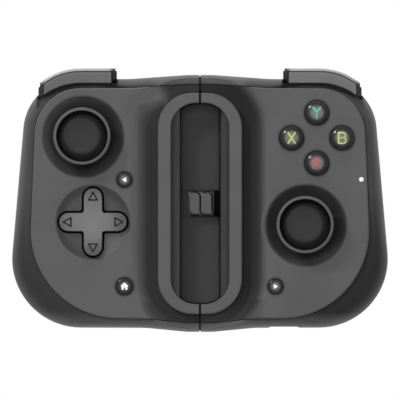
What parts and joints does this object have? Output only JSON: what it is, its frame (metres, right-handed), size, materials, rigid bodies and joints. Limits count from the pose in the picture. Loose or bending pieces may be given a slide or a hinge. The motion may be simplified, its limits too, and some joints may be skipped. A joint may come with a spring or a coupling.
{
  "type": "mobile game controller",
  "caption": "Telescoping gamepad for a phone: two grips with thumb sticks, direction pad, face and shoulder buttons, drawn apart on a sliding bridge so the phone sits between them.",
  "frame": {"origin": "centre of the bounding box, on the rest face", "axes": "+X to the right hand, +Y to the shoulder buttons, +Z towards the player"},
  "size_m": [0.1316, 0.0923, 0.0305],
  "materials": {
    "face_plate": "fine moulded grain",
    "rear_shell": "coarse moulded grain",
    "shoulder": "satin moulding",
    "stick_rubber": "soft touch elastomer",
    "lining": "soft elastomer",
    "dpad": "satin moulding",
    "button": "polished moulding",
    "steel": "nickel plated",
    "board": "solder mask",
    "mechanism": "plain moulding",
    "light": "translucent lens",
    "bridge": "satin moulding"
  },
  "bodies": {
    "bridge": {"bridge_back": "bridge", "bridge_front": "bridge", "bridge_pad": "lining"},
    "left_strap": {"left_strap": "steel"},
    "left_grip": {"left_front_plate": "face_plate", "left_rear_shell": "rear_shell", "left_cradle_pad": "lining", "left_board": "board", "left_screws": "steel", "left_bumper_pin": "steel", "left_trigger_pin": "steel", "left_switches": "mechanism", "left_stick_base": "mechanism", "dpad_base": "mechanism"},
    "right_strap": {"right_strap": "steel"},
    "right_grip": {"right_front_plate": "face_plate", "right_rear_shell": "rear_shell", "right_cradle_pad": "lining", "right_board": "board", "right_screws": "steel", "right_bumper_pin": "steel", "right_trigger_pin": "steel", "right_switches": "mechanism", "right_stick_base": "mechanism", "face_button_mat": "lining", "status_light": "light", "charge_port": "steel", "plug_boot": "lining", "phone_plug": "steel"},
    "left_stick_yoke": {"left_stick_yoke": "steel"},
    "left_stick_rocker": {"left_stick_rocker": "mechanism"},
    "left_stick_cap": {"left_stick_cap": "stick_rubber"},
    "right_stick_yoke": {"right_stick_yoke": "steel"},
    "right_stick_rocker": {"right_stick_rocker": "mechanism"},
    "right_stick_cap": {"right_stick_cap": "stick_rubber"},
    "dpad_ring": {"dpad_ring": "steel"},
    "dpad": {"dpad": "dpad"},
    "view_button": {"view_button": "button"},
    "home_button": {"home_button": "button"},
    "menu_button": {"menu_button": "button"},
    "button_a": {"button_a": "button"},
    "button_b": {"button_b": "button"},
    "button_x": {"button_x": "button"},
    "button_y": {"button_y": "button"},
    "left_bumper": {"left_bumper": "shoulder"},
    "right_bumper": {"right_bumper": "shoulder"},
    "left_trigger": {"left_trigger": "shoulder"},
    "right_trigger": {"right_trigger": "shoulder"}
  },
  "joints": [
    {"name": "left_strap_slide", "type": "slide", "parent": "bridge", "child": "left_strap", "axis": [-1, 0, 0], "range_m": [0, 0.026]},
    {"name": "left_grip_slide", "type": "slide", "parent": "left_strap", "child": "left_grip", "axis": [-1, 0, 0], "range_m": [0, 0.044], "stiffness_N_per_m": 60, "springref_m": -0.05},
    {"name": "right_strap_slide", "type": "slide", "parent": "bridge", "child": "right_strap", "axis": [1, 0, 0], "range_m": [0, 0.026]},
    {"name": "right_grip_slide", "type": "slide", "parent": "right_strap", "child": "right_grip", "axis": [1, 0, 0], "range_m": [0, 0.044]},
    {"name": "left_stick_tilt_y", "type": "hinge", "parent": "left_grip", "child": "left_stick_yoke", "pos_m": [-0.0412, 0.0223, 0.0134], "axis": [1, 0, 0], "range_deg": [-14, 14], "stiffness_Nm_per_rad": 0.08},
    {"name": "left_stick_tilt_x", "type": "hinge", "parent": "left_stick_yoke", "child": "left_stick_rocker", "pos_m": [-0.0412, 0.0223, 0.0134], "axis": [0, 1, 0], "range_deg": [-14, 14], "stiffness_Nm_per_rad": 0.08},
    {"name": "left_stick_press", "type": "slide", "parent": "left_stick_rocker", "child": "left_stick_cap", "axis": [0, 0, -1], "range_m": [0, 0.0005], "stiffness_N_per_m": 2000, "springref_m": -0.0006},
    {"name": "right_stick_tilt_y", "type": "hinge", "parent": "right_grip", "child": "right_stick_yoke", "pos_m": [0.0367, -0.0086, 0.0134], "axis": [1, 0, 0], "range_deg": [-14, 14], "stiffness_Nm_per_rad": 0.08},
    {"name": "right_stick_tilt_x", "type": "hinge", "parent": "right_stick_yoke", "child": "right_stick_rocker", "pos_m": [0.0367, -0.0086, 0.0134], "axis": [0, 1, 0], "range_deg": [-14, 14], "stiffness_Nm_per_rad": 0.08},
    {"name": "right_stick_press", "type": "slide", "parent": "right_stick_rocker", "child": "right_stick_cap", "axis": [0, 0, -1], "range_m": [0, 0.0005], "stiffness_N_per_m": 2000, "springref_m": -0.0006},
    {"name": "dpad_tilt_y", "type": "hinge", "parent": "left_grip", "child": "dpad_ring", "pos_m": [-0.0374, -0.0077, 0.016], "axis": [1, 0, 0], "range_deg": [-4, 4], "stiffness_Nm_per_rad": 0.15},
    {"name": "dpad_tilt_x", "type": "hinge", "parent": "dpad_ring", "child": "dpad", "pos_m": [-0.0374, -0.0077, 0.016], "axis": [0, 1, 0], "range_deg": [-4, 4], "stiffness_Nm_per_rad": 0.15},
    {"name": "view_press", "type": "slide", "parent": "left_grip", "child": "view_button", "axis": [0, 0, -1], "range_m": [0, 0.0006], "stiffness_N_per_m": 1200, "springref_m": -0.0008},
    {"name": "home_press", "type": "slide", "parent": "left_grip", "child": "home_button", "axis": [0, 0, -1], "range_m": [0, 0.0006], "stiffness_N_per_m": 1200, "springref_m": -0.0008},
    {"name": "menu_press", "type": "slide", "parent": "right_grip", "child": "menu_button", "axis": [0, 0, -1], "range_m": [0, 0.0006], "stiffness_N_per_m": 1200, "springref_m": -0.0008},
    {"name": "button_a_press", "type": "slide", "parent": "right_grip", "child": "button_a", "axis": [0, 0, -1], "range_m": [0, 0.0009], "stiffness_N_per_m": 800, "springref_m": -0.0008},
    {"name": "button_b_press", "type": "slide", "parent": "right_grip", "child": "button_b", "axis": [0, 0, -1], "range_m": [0, 0.0009], "stiffness_N_per_m": 800, "springref_m": -0.0008},
    {"name": "button_x_press", "type": "slide", "parent": "right_grip", "child": "button_x", "axis": [0, 0, -1], "range_m": [0, 0.0009], "stiffness_N_per_m": 800, "springref_m": -0.0008},
    {"name": "button_y_press", "type": "slide", "parent": "right_grip", "child": "button_y", "axis": [0, 0, -1], "range_m": [0, 0.0009], "stiffness_N_per_m": 800, "springref_m": -0.0008},
    {"name": "left_bumper_press", "type": "hinge", "parent": "left_grip", "child": "left_bumper", "pos_m": [-0.0332, 0.04305, 0.015], "axis": [0, 0, 1], "range_deg": [0, 2.5], "stiffness_Nm_per_rad": 0.6, "springref_deg": -4.58},
    {"name": "right_bumper_press", "type": "hinge", "parent": "right_grip", "child": "right_bumper", "pos_m": [0.0332, 0.04305, 0.015], "axis": [0, 0, -1], "range_deg": [0, 2.5], "stiffness_Nm_per_rad": 0.6, "springref_deg": -4.58},
    {"name": "left_trigger_pull", "type": "hinge", "parent": "left_grip", "child": "left_trigger", "pos_m": [-0.04225, 0.0382, 0.0079], "axis": [-1, 0, 0], "range_deg": [0, 15], "stiffness_Nm_per_rad": 0.06, "springref_deg": -17.19},
    {"name": "right_trigger_pull", "type": "hinge", "parent": "right_grip", "child": "right_trigger", "pos_m": [0.04225, 0.0382, 0.0079], "axis": [-1, 0, 0], "range_deg": [0, 15], "stiffness_Nm_per_rad": 0.06, "springref_deg": -17.19}
  ],
  "couplings": [
    {"joint": "left_strap_slide", "follows": "left_grip_slide", "ratio": 0.59},
    {"joint": "right_grip_slide", "follows": "left_grip_slide", "ratio": 1},
    {"joint": "right_strap_slide", "follows": "left_grip_slide", "ratio": 0.59}
  ]
}
